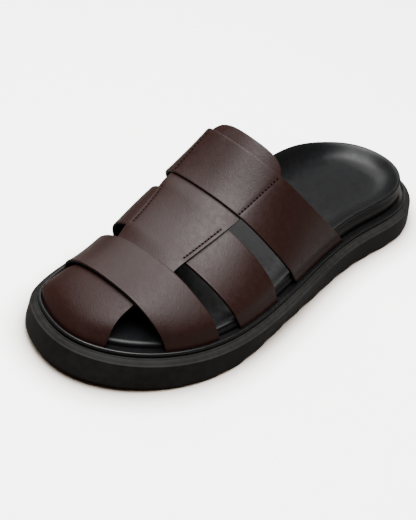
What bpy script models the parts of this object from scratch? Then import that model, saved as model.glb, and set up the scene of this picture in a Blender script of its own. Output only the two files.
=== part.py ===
"""Fisherman sandal for the left foot: outsole, midsole, contoured footbed and a woven strap upper.

Axes: toe towards -Y, heel towards +Y, lateral side +X, floor at z = 0.  Units are metres.
"""
import bmesh
import bpy
import numpy as np

MM = 0.001

# ---------------------------------------------------------------- driving sizes
SOLE_LENGTH = 295 * MM        # along the sharp upper edge of the outsole
EDGE_HEIGHT = 15.4 * MM       # that edge above the floor
TOE_SPRING = 4.3 * MM         # lift of the toe tip
SPRING_START = -50 * MM       # the sole is flat behind this station
LEATHER = 1.8 * MM            # wall of every strap
RING_COUNT = 88               # points around the outline of a sole piece

# The sharp edge of the sole, widest points to each side of the long axis.
# station y, medial x, lateral x (mm)
SOLE_STATIONS = (
    (139.0, -27.9, 24.2),
    (111.0, -48.0, 40.8),
    (68.0, -50.4, 41.4),
    (26.0, -47.4, 44.6),
    (-13.0, -49.4, 51.4),
    (-57.0, -55.4, 56.0),
    (-95.0, -53.9, 50.6),
    (-123.0, -47.6, 35.4),
    (-139.5, -36.4, 17.5),
)
HEEL_TIP_X = -0.4 * MM
TOE_TIP_X = -6.4 * MM

# ---------------------------------------------------------------- sections of the sole pieces
# side wall of the outsole from the floor up: share of the flare, inset (mm), share of the height
SIDE_PROFILE = (
    (1.0, 1.0, 0.00),
    (1.0, 0.0, 0.07),
    (0.8, 0.0, 0.45),
    (0.2, 0.0, 0.80),
    (0.0, 0.0, 0.96),
)
END_FLARE = 2.2 * MM          # how far toe and heel spread towards the floor
WAIST_TUCK = 1.9 * MM         # how far the lateral side draws in at the floor instead
TUCK_STATION = -26 * MM
TUCK_REACH = 52 * MM
# inset from the sharp edge, height above it (mm): a sloping rim that ends in a groove
RIM_PROFILE = (
    (0.3, 0.2),
    (1.4, 0.6),
    (2.9, 1.8),
    (4.1, 2.6),
    (4.5, 1.6),
)
# inset, height above the sharp edge (mm): a thin plate with a rounded bead round its edge
MIDSOLE_PROFILE = (
    (5.2, 1.9),
    (4.8, 2.3),
    (4.8, 4.2),
    (5.4, 4.8),
    (6.2, 4.5),
    (6.5, 2.9),
)
FOOTBED_BASE = 3.2            # underside of the footbed above the sharp edge (mm)
CREST_INSET = 11.1            # rolled rim of the footbed, in from the sharp edge (mm)
CREST_FORE_INSET = 0.8        # further in at the forefoot, where the straps press on it (mm)
CREST_FORE_SPAN = (65 * MM, 90 * MM)    # it grows between these distances before the middle
CREST_FORE = 10.8             # height of that rim above the sharp edge at the ball (mm)
CREST_HEEL = 15.6             # and round the heel (mm)
CREST_RISE_SPAN = (-45 * MM, 62 * MM)   # the rim climbs between these stations
ARCH_LIFT = 7.5               # extra height of the rim along the medial arch (mm)
TOE_DROP = 4.1                # the rim drops by this much towards the toes (mm)
DROP_SPAN = (45 * MM, 105 * MM)         # between these distances before the middle
FLOOR_DROP = 0.5              # the floor follows it by this share
ARCH_STATION = 56 * MM
ARCH_REACH = 72 * MM
ARCH_SIDE = (-5 * MM, 25 * MM)          # and grows between these distances from the middle
# step outward from the crest (mm), share of the height from base to crest
FOOTBED_SIDE = (
    (0.8, 0.00),
    (1.6, 0.12),
    (1.7, 0.36),
    (1.3, 0.58),
    (0.3, 0.70),
    (0.5, 0.86),
    (0.0, 0.98),
    (-1.2, 1.00),
)
# step inward from the crest (mm), share of the depth of the dish
FOOTBED_DISH = (
    (4.5, 0.42),
    (10.0, 0.82),
    (18.0, 1.00),
)
DISH_FORE = 7.4               # floor of the footbed above the sharp edge at the toes (mm)
DISH_HEEL = 7.0               # and in the heel cup (mm)
DISH_SPAN = (-40 * MM, 80 * MM)         # the floor drops between these stations
DISH_WAIST = 2.5              # extra at the waist (mm)
WAIST_STATION = 25 * MM
WAIST_REACH = 45 * MM

# ---------------------------------------------------------------- tread
# Saw-toothed waves: behind each lug the sole rises in a short step, then falls slowly to the next.
GROOVE_FIRST = -104.4 * MM
GROOVE_PITCH = 19.6 * MM
GROOVE_COUNT = 12
GROOVE_LENGTH = 16.0 * MM     # the rest of the pitch is the flat of a lug
GROOVE_STEP = 5.5 * MM        # length of the short step
GROOVE_DEPTH = 2.0 * MM
GROOVE_GROW = (58 * MM, 125 * MM)       # shallower between these distances before the middle
GROOVE_SHARES = (0.0, 0.08, 0.17, 0.26, 0.36, 0.52, 0.68, 0.84, 1.0)    # points along a groove
CUTTER_REACH = 75 * MM        # the cutter runs past both sides of the sole
CUTTER_BELOW = 6 * MM         # and below its floor
CUTTER_DROP = 0.05 * MM       # its rims lie this much below the lugs

# ---------------------------------------------------------------- the last
FOOT_INSET = 7.05             # outer face of the leather where it meets the midsole (mm)
FOOT_RISE = 3.2               # lower edge of the leather above the sharp edge (mm)
NOSE_START = -100 * MM        # in front of this station the last closes to the toe
NOSE_POWER = 2.3
# One row for each leaning section: station of the ridge, ridge height above the lower edge of
# the leather, how far the feet lie behind the ridge, shift of the ridge, fullness
# (all mm but the last, the exponent of the section: 2 is an ellipse)
LAST_STATIONS = (
    (-118.0, 19.6, 0.2, 1.5, 2.27),
    (-95.0, 24.3, 6.1, -1.3, 2.34),
    (-65.0, 32.9, 12.3, -14.2, 2.45),
    (-35.0, 48.6, 29.0, -20.7, 2.55),
    (-5.0, 73.2, 59.7, -20.5, 2.65),
)
SHEAR_POWER = 1.8             # the sections stand upright at their feet and lean over above
CAP_BULGE = 3.0 * MM          # the medial corner of the toe stands out over the bead
CAP_BULGE_SPAN = (-138 * MM, -129.5 * MM, -117 * MM)    # where that starts, is most and ends

# ---------------------------------------------------------------- the straps
# For the front and the back edge of each strap: station at its medial foot, on the ridge and
# at its lateral foot (mm)
STRAPS = {
    "toe_strap": ((-111.5, -111.9, -109.8), (-91.2, -83.4, -85.0)),
    "middle_strap": ((-77.1, -74.0, -71.3), (-54.8, -44.7, -47.0)),
    "instep_strap": ((-38.9, -37.2, -34.3), (-9.0, -11.3, -6.6)),
}
# The vamp, seen from above: station, x of its medial edge, x of its lateral edge (mm)
VAMP_EDGES = (
    (-137.0, -38.0, 17.5),
    (-131.0, -38.2, 16.0),
    (-124.0, -38.2, 14.0),
    (-117.0, -35.9, 13.4),
    (-110.0, -31.1, 13.2),
    (-85.0, -30.2, 11.9),
    (-57.0, -34.8, 11.8),
    (-40.0, -38.0, 12.8),
    (-12.0, -37.8, 13.9),
)
TAB_END = -5.4 * MM           # the strip ends as a tongue behind the instep strap
TAB_LENGTH = 11 * MM          # length and width of the tongue's round corners
TAB_CORNER = 20 * MM
TAB_POWER = 2.6               # their roundness (2 is an ellipse)
# The strip passes under the toe strap, over the middle strap and under the instep strap.
OVER_FROM = -78.8 * MM
OVER_TO = -41.0 * MM
WEAVE_RAMP = 3 * MM           # half the length in which the leather changes level
SEAT = 0.6 * MM               # crossing leather is pressed together by this much
FALL = (1 * MM, 10 * MM)      # a strap comes down between these distances beyond the vamp


def smooth_step(value, low, high):
    """0 below low, 1 above high, with a soft S between."""
    share = np.clip((value - low) / (high - low), 0.0, 1.0)
    return share * share * (3.0 - 2.0 * share)


def spline_bend(spans, rates, closed):
    """Second derivatives of the cubic through points with these spans and slopes between them."""
    count = len(spans) if closed else len(spans) + 1
    system = np.eye(count)
    right = np.zeros((count,) + rates.shape[1:])
    for i in range(0 if closed else 1, count if closed else count - 1):
        before, after = spans[i - 1], spans[i]
        system[i, i] = 2.0 * (before + after)
        system[i, i - 1] += before
        system[i, (i + 1) % count] += after
        right[i] = 6.0 * (rates[i] - rates[i - 1])
    return np.linalg.solve(system, right)


def column_curve(table, column):
    """Smooth function of the station for one column of a table whose sizes are in mm."""
    rows = np.array(table) * MM
    known, values = rows[:, 0], rows[:, column]
    spans = np.diff(known)
    rates = np.diff(values) / spans
    bend = spline_bend(spans, rates, closed=False)

    def curve(station):
        station = np.asarray(station, float)
        i = np.clip(np.searchsorted(known, station) - 1, 0, len(spans) - 1)
        inside = np.clip(station, known[0], known[-1])
        u, h = inside - known[i], spans[i]
        slope = rates[i] - h * (2.0 * bend[i] + bend[i + 1]) / 6.0
        grow = (bend[i + 1] - bend[i]) / (6.0 * h)
        value = values[i] + u * (slope + u * (bend[i] / 2.0 + u * grow))
        end_slope = slope + u * (bend[i] + 3.0 * u * grow)
        return value + (station - inside) * end_slope

    return curve


def evenly_spaced(path, count):
    """Points at equal distances along a closed path."""
    loop = np.vstack([path, path[:1]])
    along = np.r_[0.0, np.cumsum(np.linalg.norm(np.diff(loop, axis=0), axis=1))]
    marks = np.linspace(0.0, along[-1], count, endpoint=False)
    return np.column_stack([np.interp(marks, along, loop[:, k]) for k in range(2)])


def sole_outline(count):
    """Points of the sharp edge, heel tip first then along the lateral side, and outward normals."""
    half = SOLE_LENGTH / 2
    lateral = [(row[2] * MM, row[0] * MM) for row in SOLE_STATIONS]
    medial = [(row[1] * MM, row[0] * MM) for row in reversed(SOLE_STATIONS)]
    points = np.array([(HEEL_TIP_X, half)] + lateral + [(TOE_TIP_X, -half)] + medial)
    following = np.roll(points, -1, axis=0)
    spans = np.sqrt(np.linalg.norm(following - points, axis=1))
    rates = (following - points) / spans[:, None]
    bend = spline_bend(spans, rates, closed=True)
    next_bend = np.roll(bend, -1, axis=0)
    pieces = []
    for i, span in enumerate(spans):
        u = np.linspace(0.0, span, 60, endpoint=False)[:, None]
        slope = rates[i] - span * (2.0 * bend[i] + next_bend[i]) / 6.0
        grow = (next_bend[i] - bend[i]) / (6.0 * span)
        pieces.append(points[i] + u * (slope + u * (bend[i] / 2.0 + u * grow)))
    path = evenly_spaced(np.vstack(pieces), count)
    along = np.roll(path, -1, axis=0) - np.roll(path, 1, axis=0)
    outward = np.column_stack([-along[:, 1], along[:, 0]])
    return path, outward / np.linalg.norm(outward, axis=1)[:, None]


OUTLINE, OUTWARD = sole_outline(RING_COUNT)
FINE_OUTLINE, FINE_OUTWARD = sole_outline(10 * RING_COUNT)
FOOT_LINE = FINE_OUTLINE - FINE_OUTWARD * FOOT_INSET * MM
NOSE_TIP = FOOT_LINE[:, 1].min()


def spring(y):
    """Height of the underside above the floor."""
    reach = SOLE_LENGTH / 2 + SPRING_START
    return TOE_SPRING * np.clip((SPRING_START - y) / reach, 0.0, None) ** 2


def edge_height(y):
    return EDGE_HEIGHT + spring(y)


def ring(inset, rise):
    """A loop set in from the sharp edge and above it; both in mm, single or one for each point."""
    step = np.broadcast_to(np.asarray(inset, float) * MM, (RING_COUNT,))
    path = OUTLINE - OUTWARD * step[:, None]
    height = edge_height(path[:, 1]) + np.asarray(rise) * MM
    return np.column_stack([path, height])


def material(name, colour, roughness):
    made = bpy.data.materials.new(name)
    made.use_nodes = True
    shader = made.node_tree.nodes["Principled BSDF"]
    shader.inputs["Base Color"].default_value = (*colour, 1.0)
    shader.inputs["Roughness"].default_value = roughness
    shader.inputs["Metallic"].default_value = 0.0
    return made


def finish(name, mesh, finish_material):
    """Turn a bmesh into a named object, shaded smooth up to its sharp edges."""
    bmesh.ops.recalc_face_normals(mesh, faces=mesh.faces)
    data = bpy.data.meshes.new(name)
    mesh.to_mesh(data)
    mesh.free()
    data.shade_smooth()
    data.set_sharp_from_angle(angle=np.radians(40))
    data.materials.append(finish_material)
    made = bpy.data.objects.new(name, data)
    bpy.context.scene.collection.objects.link(made)
    return made


def close_across(mesh, loop):
    """Fill a loop with faces that run straight across from its lateral to its medial side."""
    count = len(loop)
    middle = count // 2
    mesh.faces.new((loop[0], loop[1], loop[-1]))
    for i in range(1, middle - 1):
        mesh.faces.new((loop[i], loop[i + 1], loop[count - i - 1], loop[count - i]))
    mesh.faces.new((loop[middle - 1], loop[middle], loop[middle + 1]))


def stacked_rings(name, rings, finish_material):
    """Closed solid through rings of equal count, filled across at both ends."""
    mesh = bmesh.new()
    loops = [[mesh.verts.new(point) for point in points] for points in rings]
    for lower, upper in zip(loops, loops[1:]):
        for i in range(len(lower)):
            mesh.faces.new((lower[i - 1], lower[i], upper[i], upper[i - 1]))
    close_across(mesh, loops[0])
    close_across(mesh, loops[-1])
    return finish(name, mesh, finish_material)


def side_flare(path):
    """How far the side wall stands out at the floor, for each point of the sharp edge."""
    x, y = path[:, 0], path[:, 1]
    flare = END_FLARE * np.clip(np.abs(y) / (SOLE_LENGTH / 2), 0.0, 1.0) ** 1.5
    near_waist = np.clip(1.0 - np.abs(y - TUCK_STATION) / TUCK_REACH, 0.0, 1.0)
    return flare - WAIST_TUCK * smooth_step(near_waist, 0.0, 1.0) * (x > 0)


def groove_height(y, start):
    """Height of one groove above the lugs: a short step up, then a slow fall."""
    along = y - start
    fall = 1.0 - np.clip((along - GROOVE_STEP) / (GROOVE_LENGTH - GROOVE_STEP), 0.0, 1.0)
    grow = 1.0 - smooth_step(-y, *GROOVE_GROW)
    return GROOVE_DEPTH * grow * fall * smooth_step(along, 0.0, GROOVE_STEP)


def make_tread_cutter():
    """Wave-shaped bars across the sole, which cut the grooves between its lugs."""
    mesh = bmesh.new()
    for k in range(GROOVE_COUNT):
        start = GROOVE_FIRST + k * GROOVE_PITCH
        y = start + np.array(GROOVE_SHARES) * GROOVE_LENGTH
        top = groove_height(y, start) - CUTTER_DROP
        shape = list(zip(y, top + spring(y))) + [(y[-1], -CUTTER_BELOW), (y[0], -CUTTER_BELOW)]
        ends = [[mesh.verts.new((x, *point)) for point in shape] for x in (-CUTTER_REACH, CUTTER_REACH)]
        for i in range(len(shape)):
            mesh.faces.new((ends[0][i - 1], ends[0][i], ends[1][i], ends[1][i - 1]))
        mesh.faces.new(ends[0])
        mesh.faces.new(ends[1])
    cutter = finish("tread_cutter", mesh, material("tread_cutter", (0.5, 0.5, 0.5), 0.5))
    cutter.hide_render = True
    cutter.display_type = "WIRE"
    return cutter


def combine(target, operation, other):
    change = target.modifiers.new(other.name, "BOOLEAN")
    change.operation = operation
    change.solver = "EXACT"
    change.object = other
    other.hide_render = True
    other.display_type = "WIRE"


def make_outsole(rubber):
    rings = []
    for flare_share, inset, height_share in SIDE_PROFILE:
        flare = side_flare(OUTLINE) * flare_share
        path = OUTLINE + OUTWARD * (flare - inset * MM)[:, None]
        base = spring(path[:, 1])
        rings.append(np.column_stack([path, base + EDGE_HEIGHT * height_share]))
    rings += [ring(inset, rise) for inset, rise in RIM_PROFILE]
    outsole = stacked_rings("outsole", rings, rubber)
    combine(outsole, "DIFFERENCE", make_tread_cutter())
    return outsole


def make_midsole(rubber):
    rings = [ring(inset, rise) for inset, rise in MIDSOLE_PROFILE]
    return stacked_rings("midsole", rings, rubber)


def toe_drop(y):
    """How much lower the footbed's rim lies towards the toes (mm)."""
    return TOE_DROP * smooth_step(-y, *DROP_SPAN)


def crest_rise():
    """Height of the footbed's rolled rim above the sharp edge, for each point of the outline (mm)."""
    x, y = OUTLINE[:, 0], OUTLINE[:, 1]
    climb = smooth_step(y, *CREST_RISE_SPAN)
    near_arch = np.clip(1.0 - np.abs(y - ARCH_STATION) / ARCH_REACH, 0.0, 1.0)
    medial = smooth_step(-x, *ARCH_SIDE)
    arch = ARCH_LIFT * medial * np.sin(near_arch * np.pi / 2) ** 2
    return CREST_FORE + (CREST_HEEL - CREST_FORE) * climb + arch - toe_drop(y)


def make_footbed(foam):
    crest = crest_rise()
    y = OUTLINE[:, 1]
    waist = np.exp(-(((y - WAIST_STATION) / WAIST_REACH) ** 2))
    floor = DISH_FORE + (DISH_HEEL - DISH_FORE) * smooth_step(y, *DISH_SPAN)
    floor = floor + DISH_WAIST * waist - FLOOR_DROP * toe_drop(y)
    inset = CREST_INSET + CREST_FORE_INSET * smooth_step(-y, *CREST_FORE_SPAN)
    rings = []
    for outward, share in FOOTBED_SIDE:
        rise = FOOTBED_BASE + (crest - FOOTBED_BASE) * share
        rings.append(ring(inset - outward, rise))
    for inward, share in FOOTBED_DISH:
        rings.append(ring(inset + inward, crest - (crest - floor) * share))
    return stacked_rings("footbed", rings, foam)


# ---------------------------------------------------------------- the last's surface
ridge_height = column_curve(LAST_STATIONS, 1)
section_lean = column_curve(LAST_STATIONS, 2)
ridge_shift = column_curve(LAST_STATIONS, 3)
section_fullness = column_curve(LAST_STATIONS, 4)
SECTION_ANGLES = np.pi * (1.0 - np.linspace(0.0, 1.0, 91))


def foot_sides(y):
    """x of the medial and the lateral foot of a section whose foot lies at y."""
    sides = []
    for side in (-1, 1):
        tip_x = FOOT_LINE[FOOT_LINE[:, 1].argmin(), 0]
        half = FOOT_LINE[side * (FOOT_LINE[:, 0] - tip_x) >= 0]
        half = half[np.argsort(half[:, 1])]
        sides.append(np.interp(y, half[:, 1], half[:, 0]))
    return sides


def last_section(station):
    """Points of one leaning section, from its medial foot over the ridge to its lateral foot."""
    nose = np.clip((NOSE_START - station) / (NOSE_START - NOSE_TIP), 0.0, 1.0)
    height = ridge_height(station) * (1.0 - nose**NOSE_POWER) ** (1.0 / NOSE_POWER)
    across, up = np.cos(SECTION_ANGLES), np.sin(SECTION_ANGLES)
    power = 2.0 * MM / section_fullness(station)
    across = np.sign(across) * np.abs(across) ** power
    up = np.abs(up) ** power
    y = station + section_lean(station) * (1.0 - nose) * (1.0 - up)
    medial, lateral = foot_sides(y)
    x = (medial + lateral) / 2 + (lateral - medial) / 2 * across
    x = x + ridge_shift(station) * up**SHEAR_POWER * (1.0 - nose**2)
    start, most, end = CAP_BULGE_SPAN
    bulge = smooth_step(station, start, most) * (1.0 - smooth_step(station, most, end))
    x = x - CAP_BULGE * bulge * 6.75 * up * (1.0 - up) ** 2 * np.clip(-across, 0.0, 1.0)
    z = edge_height(y) + FOOT_RISE * MM + height * up
    return np.column_stack([x, y, z])


def distance_along(section):
    steps = np.linalg.norm(np.diff(section, axis=0), axis=1)
    return np.r_[0.0, np.cumsum(steps)]


def on_last(station, arc):
    """Point on the last at a signed distance along the section from its middle."""
    section = last_section(station)
    along = distance_along(section)
    mark = np.clip(along[-1] / 2 + arc, 0.0, along[-1])
    return np.array([np.interp(mark, along, section[:, k]) for k in range(3)])


def section_half_length(station):
    return distance_along(last_section(station))[-1] / 2


def sheet_normals(grid, foot):
    """Outward normals of a grid of points; level where foot is true."""
    down, across = np.gradient(grid, axis=0), np.gradient(grid, axis=1)
    normal = np.cross(down, across)
    length = np.linalg.norm(normal, axis=2, keepdims=True)
    normal = np.where(length > 0, normal / np.maximum(length, 1e-12), (0.0, -1.0, 0.0))
    centre = np.array([0.0, 0.0, EDGE_HEIGHT])
    outward = grid - centre
    outward[..., 1] = np.where(grid[..., 1] < NOSE_START, outward[..., 1] - NOSE_START, 0.0)
    facing = np.sign((normal * outward).sum(axis=2, keepdims=True))
    normal = normal * np.where(facing == 0, 1.0, facing)
    normal[foot, 2] = 0.0
    return normal / np.linalg.norm(normal, axis=2, keepdims=True)


def leather_piece(name, grid, lift, foot, leather):
    """A wall of leather whose outer face is the grid raised by lift."""
    outer = grid + sheet_normals(grid, foot) * lift[..., None]
    inner = outer - sheet_normals(outer, foot) * LEATHER
    rows, columns = grid.shape[:2]
    mesh = bmesh.new()
    faces = [[[mesh.verts.new(p) for p in row] for row in side] for side in (outer, inner)]
    for side in faces:
        for i in range(rows - 1):
            for j in range(columns - 1):
                mesh.faces.new((side[i][j], side[i][j + 1], side[i + 1][j + 1], side[i + 1][j]))
    border = [(0, j) for j in range(columns)] + [(i, columns - 1) for i in range(1, rows)]
    border += [(rows - 1, j) for j in range(columns - 2, -1, -1)]
    border += [(i, 0) for i in range(rows - 2, 0, -1)]
    for (i, j), (k, m) in zip(border, border[1:] + border[:1]):
        mesh.faces.new((faces[0][i][j], faces[0][k][m], faces[1][k][m], faces[1][i][j]))
    bmesh.ops.remove_doubles(mesh, verts=mesh.verts, dist=0.01 * MM)
    return finish(name, mesh, leather)


vamp_medial_x = column_curve(VAMP_EDGES, 1)
vamp_lateral_x = column_curve(VAMP_EDGES, 2)


def vamp_width(station):
    """Medial and lateral edge of the vamp as distances from the middle of the section."""
    section = last_section(station)
    arcs = distance_along(section)
    arcs = arcs - arcs[-1] / 2
    low, high = section[:, 0].argmin(), section[:, 0].argmax()
    across, along = section[low:high + 1, 0], arcs[low:high + 1]
    medial = np.interp(vamp_medial_x(station), across, along, left=arcs[0])
    lateral = np.interp(vamp_lateral_x(station), across, along, right=arcs[-1])
    return medial, lateral


def make_vamp(leather):
    """Toe cap, strip and tongue in one piece."""
    nose = NOSE_TIP + (NOSE_START - NOSE_TIP) * (1.0 - np.cos(np.linspace(0, np.pi / 2, 17)))
    strip = np.linspace(NOSE_START, TAB_END - TAB_LENGTH, 20)[1:]
    tab = TAB_END - TAB_LENGTH * (1.0 - np.sin(np.linspace(0, np.pi / 2, 6)[1:]))
    stations = np.r_[nose, strip, tab]
    columns = np.linspace(0.0, 1.0, 11)
    grid, foot = [], []
    for station in stations:
        medial, lateral = vamp_width(station)
        corner = max(0.0, 1.0 - (TAB_END - station) / TAB_LENGTH)
        trim = TAB_CORNER * (1.0 - (1.0 - corner**TAB_POWER) ** (1.0 / TAB_POWER))
        arcs = medial + trim + (lateral - medial - 2 * trim) * columns
        half = section_half_length(station)
        grid.append([on_last(station, arc) for arc in arcs])
        foot.append(np.abs(arcs) > half - 0.01 * MM)
    over = smooth_step(stations, OVER_FROM - WEAVE_RAMP, OVER_FROM + WEAVE_RAMP)
    over = over * (1.0 - smooth_step(stations, OVER_TO - WEAVE_RAMP, OVER_TO + WEAVE_RAMP))
    lift = np.repeat(over[:, None] * (LEATHER - SEAT), len(columns), axis=1)
    return leather_piece("upper", np.array(grid), lift, np.array(foot), leather)


def make_strap(name, leather):
    front, back = [np.polyfit((-1, 0, 1), np.array(edge) * MM, 2) for edge in STRAPS[name]]
    over_vamp = name != "middle_strap"
    shares = np.linspace(-1.0, 1.0, 31)
    columns = np.linspace(0.0, 1.0, 6)
    grid, lift = [], []
    for share in shares:
        grid_row, lift_row = [], []
        for column in columns:
            station = np.polyval(front, share) * (1.0 - column)
            station += np.polyval(back, share) * column
            half = section_half_length(station)
            arc = share * half
            medial, lateral = vamp_width(station)
            beyond = max(medial - arc, arc - lateral)
            grid_row.append(on_last(station, arc))
            lift_row.append(1.0 - smooth_step(beyond, *FALL))
        grid.append(grid_row)
        lift.append(lift_row)
    foot = np.repeat((np.abs(shares) > 0.999)[:, None], len(columns), axis=1)
    lift = np.array(lift) * (LEATHER - SEAT) * over_vamp
    return leather_piece(name, np.array(grid), lift, foot, leather)


def make_upper(leather):
    """Straps and vamp, joined where they cross."""
    upper = make_vamp(leather)
    for name in STRAPS:
        combine(upper, "UNION", make_strap(name, leather))
    return upper


def main():
    for old in list(bpy.data.objects):
        bpy.data.objects.remove(old, do_unlink=True)
    make_outsole(material("outsole_rubber", (0.020, 0.020, 0.021), 0.62))
    make_midsole(material("midsole_rubber", (0.016, 0.016, 0.017), 0.45))
    make_footbed(material("footbed_cover", (0.022, 0.022, 0.024), 0.50))
    make_upper(material("brown_leather", (0.072, 0.034, 0.027), 0.42))


main()
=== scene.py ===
# %% [markdown]
# # A left fisherman sandal
# This lesson dresses a plain solid model of a sandal until it looks like the real thing. The
# model was packed beforehand and is loaded as a fixed frame: it gives the place and the size of
# everything. Each step below makes one piece or one finish, and says why it was made that way.

import bmesh
import bpy
import numpy as np
from mathutils import Matrix, Vector


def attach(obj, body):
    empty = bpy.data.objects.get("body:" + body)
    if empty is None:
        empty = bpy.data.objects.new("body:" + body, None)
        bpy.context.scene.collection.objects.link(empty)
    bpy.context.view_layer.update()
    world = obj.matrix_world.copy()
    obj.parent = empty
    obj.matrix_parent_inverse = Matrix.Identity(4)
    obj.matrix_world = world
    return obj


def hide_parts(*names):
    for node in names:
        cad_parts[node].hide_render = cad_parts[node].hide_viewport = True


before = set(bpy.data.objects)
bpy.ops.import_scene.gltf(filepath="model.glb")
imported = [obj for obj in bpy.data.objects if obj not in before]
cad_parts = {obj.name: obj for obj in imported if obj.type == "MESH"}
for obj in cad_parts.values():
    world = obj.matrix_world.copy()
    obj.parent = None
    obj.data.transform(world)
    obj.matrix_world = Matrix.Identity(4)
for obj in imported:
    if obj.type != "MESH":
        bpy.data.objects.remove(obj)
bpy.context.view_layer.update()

# %% [markdown]
# ## A few small helpers
# Operators act on everything that is selected, and loading leaves the solids selected. So
# nothing is added before the selection is empty and Blender is back in object mode. Every piece
# is finished in the same way, and one soft step serves for every gentle change.

# %% Helpers for clean starts and for finishing a piece
MM = 0.001


def clear_selection():
    """Back to object mode, with nothing selected."""
    if bpy.context.object and bpy.context.object.mode != "OBJECT":
        bpy.ops.object.mode_set(mode="OBJECT")
    bpy.ops.object.select_all(action="DESELECT")


def apply_modifiers(piece):
    """Make all modifiers of a piece part of its mesh, from the first to the last."""
    clear_selection()
    piece.select_set(True)
    bpy.context.view_layer.objects.active = piece
    for modifier in list(piece.modifiers):
        bpy.ops.object.modifier_apply(modifier=modifier.name)


def finish_piece(piece, smooth_angle=40):
    """Point the faces outwards and shade the piece smooth up to its sharp edges."""
    clear_selection()
    piece.select_set(True)
    bpy.context.view_layer.objects.active = piece
    bpy.ops.object.mode_set(mode="EDIT")
    bpy.ops.mesh.select_all(action="SELECT")
    bpy.ops.mesh.normals_make_consistent(inside=False)
    bpy.ops.object.mode_set(mode="OBJECT")
    bpy.ops.object.shade_smooth_by_angle(angle=np.radians(smooth_angle))
    print(piece.name, "has", len(piece.data.polygons), "faces")


def smooth_step(value, low, high):
    """0 below low, 1 above high, with a soft S between."""
    share = np.clip((value - low) / (high - low), 0.0, 1.0)
    return share * share * (3.0 - 2.0 * share)


# %% [markdown]
# ## Smooth curves through a few sizes
# A shoemaker's pattern gives a width or a height at a few stations along the last and leaves
# the curve between them to the eye. Straight lines between the sizes would leave corners, so
# short tables are used here with a cubic curve that passes through them without a kink.

# %% Curves through tables
def spline_bend(spans, rates, closed):
    """Second derivatives of the cubic through points with these spans and slopes between them."""
    count = len(spans) if closed else len(spans) + 1
    system = np.eye(count)
    right = np.zeros((count,) + rates.shape[1:])
    for i in range(0 if closed else 1, count if closed else count - 1):
        before, after = spans[i - 1], spans[i]
        system[i, i] = 2.0 * (before + after)
        system[i, i - 1] += before
        system[i, (i + 1) % count] += after
        right[i] = 6.0 * (rates[i] - rates[i - 1])
    return np.linalg.solve(system, right)


def column_curve(table, column):
    """Smooth function of the station for one column of a table whose sizes are in mm."""
    rows = np.array(table) * MM
    known, values = rows[:, 0], rows[:, column]
    spans = np.diff(known)
    rates = np.diff(values) / spans
    bend = spline_bend(spans, rates, closed=False)

    def curve(station):
        station = np.asarray(station, float)
        i = np.clip(np.searchsorted(known, station) - 1, 0, len(spans) - 1)
        inside = np.clip(station, known[0], known[-1])
        u, h = inside - known[i], spans[i]
        slope = rates[i] - h * (2.0 * bend[i] + bend[i + 1]) / 6.0
        grow = (bend[i + 1] - bend[i]) / (6.0 * h)
        value = values[i] + u * (slope + u * (bend[i] / 2.0 + u * grow))
        end_slope = slope + u * (bend[i] + 3.0 * u * grow)
        return value + (station - inside) * end_slope

    return curve


# %% [markdown]
# ## The outline of the sole
# Every layer of the sole follows the sharp upper edge of the outsole, a little further in. That
# edge could be drawn by hand as a curve object. Here it runs through a table of its widest
# points at nine stations and its two tips, because sizes in a table are easy to correct. The
# closed curve is then cut into equal steps.

# %% Sizes of the outline
SOLE_LENGTH = 295 * MM
EDGE_HEIGHT = 15.4 * MM
TOE_SPRING = 4.3 * MM
SPRING_START = -50 * MM
RING_COUNT = 320
# station y, medial x, lateral x (mm)
SOLE_STATIONS = (
    (139.0, -27.9, 24.2),
    (111.0, -48.0, 40.8),
    (68.0, -50.4, 41.4),
    (26.0, -47.4, 44.6),
    (-13.0, -49.4, 51.4),
    (-57.0, -55.4, 56.0),
    (-95.0, -53.9, 50.6),
    (-123.0, -47.6, 35.4),
    (-139.5, -36.4, 17.5),
)
HEEL_TIP_X = -0.4 * MM
TOE_TIP_X = -6.4 * MM
STEPS_A_SPAN = 300
print("the sole is", round(SOLE_LENGTH / MM), "mm long")


# %% Outline
def sole_outline(count):
    """Points of the sharp edge, heel tip first, and their outward directions."""
    half = SOLE_LENGTH / 2
    lateral = [(row[2] * MM, row[0] * MM) for row in SOLE_STATIONS]
    medial = [(row[1] * MM, row[0] * MM) for row in reversed(SOLE_STATIONS)]
    points = np.array([(HEEL_TIP_X, half)] + lateral + [(TOE_TIP_X, -half)] + medial)
    following = np.roll(points, -1, axis=0)
    spans = np.sqrt(np.linalg.norm(following - points, axis=1))
    rates = (following - points) / spans[:, None]
    bend = spline_bend(spans, rates, closed=True)
    next_bend = np.roll(bend, -1, axis=0)
    parts = []
    for i, span in enumerate(spans):
        u = np.linspace(0.0, span, STEPS_A_SPAN, endpoint=False)[:, None]
        slope = rates[i] - span * (2.0 * bend[i] + next_bend[i]) / 6.0
        grow = (next_bend[i] - bend[i]) / (6.0 * span)
        parts.append(points[i] + u * (slope + u * (bend[i] / 2.0 + u * grow)))
    path = np.vstack(parts + [points[:1]])
    along = np.r_[0.0, np.cumsum(np.linalg.norm(np.diff(path, axis=0), axis=1))]
    marks = np.linspace(0.0, along[-1], count, endpoint=False)
    path = np.column_stack([np.interp(marks, along, path[:, k]) for k in range(2)])
    tangent = np.roll(path, -1, axis=0) - np.roll(path, 1, axis=0)
    outward = np.column_stack([-tangent[:, 1], tangent[:, 0]])
    return path, outward / np.linalg.norm(outward, axis=1)[:, None]


def spring(y):
    """Height of the underside above the floor."""
    reach = SOLE_LENGTH / 2 + SPRING_START
    return TOE_SPRING * np.clip((SPRING_START - y) / reach, 0.0, None) ** 2


def edge_height(y):
    """Height of the outsole's sharp edge above the floor."""
    return EDGE_HEIGHT + spring(y)


OUTLINE, OUTWARD = sole_outline(RING_COUNT)
print("outline of", RING_COUNT, "steps of",
      round(1000 * np.linalg.norm(OUTLINE[1] - OUTLINE[0]), 2), "mm")

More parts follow.
